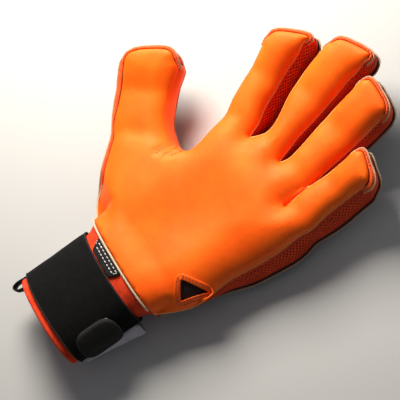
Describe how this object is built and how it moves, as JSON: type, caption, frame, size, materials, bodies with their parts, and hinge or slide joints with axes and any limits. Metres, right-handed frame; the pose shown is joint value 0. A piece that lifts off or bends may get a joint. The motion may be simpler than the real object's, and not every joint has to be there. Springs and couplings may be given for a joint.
{
  "type": "goalkeeper glove",
  "caption": "Left goalkeeper glove, palm up: foam latex palm, mesh gussets, padded backhand, cuff and elastic wrist wrap, with bending digits and a peel-off tab.",
  "frame": {"origin": "bottom centre of the bounding box, on the plane that the backhand rests on", "axes": "+Z out of the palm, +Y from the cuff towards the middle fingertip, +X towards the little finger"},
  "size_m": [0.2038, 0.3076, 0.0601],
  "materials": {
    "orange_latex": "matte",
    "red_mesh": "matte",
    "black_backhand": "matte",
    "black_elastic": "matte",
    "grey_loop": "matte",
    "red_cuff": "matte",
    "cream_piping": "satin",
    "inner_lining": "matte"
  },
  "bodies": {
    "hand": {"back_lining": "inner_lining", "closure_strap": "grey_loop", "crotch_gusset_index_middle": "red_mesh", "crotch_gusset_middle_ring": "red_mesh", "crotch_gusset_ring_little": "red_mesh", "cuff_back": "red_cuff", "cuff_front": "red_cuff", "elastic_insert": "black_elastic", "heel_gusset": "red_mesh", "loop_patch": "grey_loop", "palm_backhand": "black_backhand", "palm_latex": "orange_latex", "palm_lining": "inner_lining", "pull_loop": "black_elastic", "thumb_edge_wall": "red_mesh", "thumb_web_roll": "orange_latex", "vent_frame": "red_cuff", "vent_mesh": "black_elastic", "wrist_piping": "cream_piping", "wrist_wrap_back": "black_elastic", "wrist_wrap_front": "black_elastic"},
    "thumb_lower": {"thumb_lower_back": "black_backhand", "thumb_lower_gusset_inner": "red_mesh", "thumb_lower_latex": "orange_latex", "thumb_lower_roll": "orange_latex"},
    "thumb_upper": {"thumb_upper_back": "black_backhand", "thumb_upper_gusset": "red_mesh", "thumb_upper_latex": "orange_latex"},
    "index_lower": {"index_lower_back": "black_backhand", "index_lower_gusset_outer": "red_mesh", "index_lower_latex": "orange_latex", "index_lower_roll": "orange_latex"},
    "index_upper": {"index_upper_back": "black_backhand", "index_upper_gusset": "red_mesh", "index_upper_latex": "orange_latex"},
    "middle_lower": {"middle_lower_back": "black_backhand", "middle_lower_gusset_inner": "red_mesh", "middle_lower_gusset_outer": "red_mesh", "middle_lower_latex": "orange_latex"},
    "middle_upper": {"middle_upper_back": "black_backhand", "middle_upper_gusset": "red_mesh", "middle_upper_latex": "orange_latex"},
    "ring_lower": {"ring_lower_back": "black_backhand", "ring_lower_gusset_inner": "red_mesh", "ring_lower_gusset_outer": "red_mesh", "ring_lower_latex": "orange_latex"},
    "ring_upper": {"ring_upper_back": "black_backhand", "ring_upper_gusset": "red_mesh", "ring_upper_latex": "orange_latex"},
    "little_lower": {"little_lower_back": "black_backhand", "little_lower_gusset_inner": "red_mesh", "little_lower_gusset_outer": "red_mesh", "little_lower_latex": "orange_latex"},
    "little_upper": {"little_upper_back": "black_backhand", "little_upper_gusset": "red_mesh", "little_upper_latex": "orange_latex"},
    "closure_tab": {"closure_tab": "black_elastic", "hook_patch": "grey_loop"}
  },
  "joints": [
    {"name": "thumb_root_bend", "type": "hinge", "parent": "hand", "child": "thumb_lower", "pos_m": [-0.05266, -0.00106, 0.041], "axis": [0.7986, 0.6018, 0], "range_deg": [0, 45], "stiffness_Nm_per_rad": 0.16},
    {"name": "thumb_middle_bend", "type": "hinge", "parent": "thumb_lower", "child": "thumb_upper", "pos_m": [-0.06822, 0.01959, 0.04372], "axis": [0.7986, 0.6018, 0], "range_deg": [0, 50], "stiffness_Nm_per_rad": 0.12},
    {"name": "index_root_bend", "type": "hinge", "parent": "hand", "child": "index_lower", "pos_m": [-0.00609, 0.05672, 0.041], "axis": [0.9806, 0.1959, 0], "range_deg": [0, 55], "stiffness_Nm_per_rad": 0.16},
    {"name": "index_middle_bend", "type": "hinge", "parent": "index_lower", "child": "index_upper", "pos_m": [-0.01193, 0.08598, 0.04414], "axis": [0.9806, 0.1959, 0], "range_deg": [0, 60], "stiffness_Nm_per_rad": 0.12},
    {"name": "middle_root_bend", "type": "hinge", "parent": "hand", "child": "middle_lower", "pos_m": [0.02226, 0.06045, 0.041], "axis": [1, 0, 0], "range_deg": [0, 55], "stiffness_Nm_per_rad": 0.16},
    {"name": "middle_middle_bend", "type": "hinge", "parent": "middle_lower", "child": "middle_upper", "pos_m": [0.02226, 0.09824, 0.04497], "axis": [1, 0, 0], "range_deg": [0, 60], "stiffness_Nm_per_rad": 0.12},
    {"name": "ring_root_bend", "type": "hinge", "parent": "hand", "child": "ring_lower", "pos_m": [0.0527, 0.06039, 0.041], "axis": [0.9947, -0.1028, 0], "range_deg": [0, 55], "stiffness_Nm_per_rad": 0.16},
    {"name": "ring_middle_bend", "type": "hinge", "parent": "ring_lower", "child": "ring_upper", "pos_m": [0.05617, 0.09402, 0.04455], "axis": [0.9947, -0.1028, 0], "range_deg": [0, 60], "stiffness_Nm_per_rad": 0.12},
    {"name": "little_root_bend", "type": "hinge", "parent": "hand", "child": "little_lower", "pos_m": [0.07762, 0.04018, 0.041], "axis": [0.977, -0.213, 0], "range_deg": [0, 55], "stiffness_Nm_per_rad": 0.16},
    {"name": "little_middle_bend", "type": "hinge", "parent": "little_lower", "child": "little_upper", "pos_m": [0.08313, 0.06544, 0.04372], "axis": [0.977, -0.213, 0], "range_deg": [0, 60], "stiffness_Nm_per_rad": 0.12},
    {"name": "closure_tab_peel", "type": "hinge", "parent": "hand", "child": "closure_tab", "pos_m": [0.04868, -0.08651, 0.02552], "axis": [0.1821, 0.9833, 0], "range_deg": [0, 90]}
  ]
}
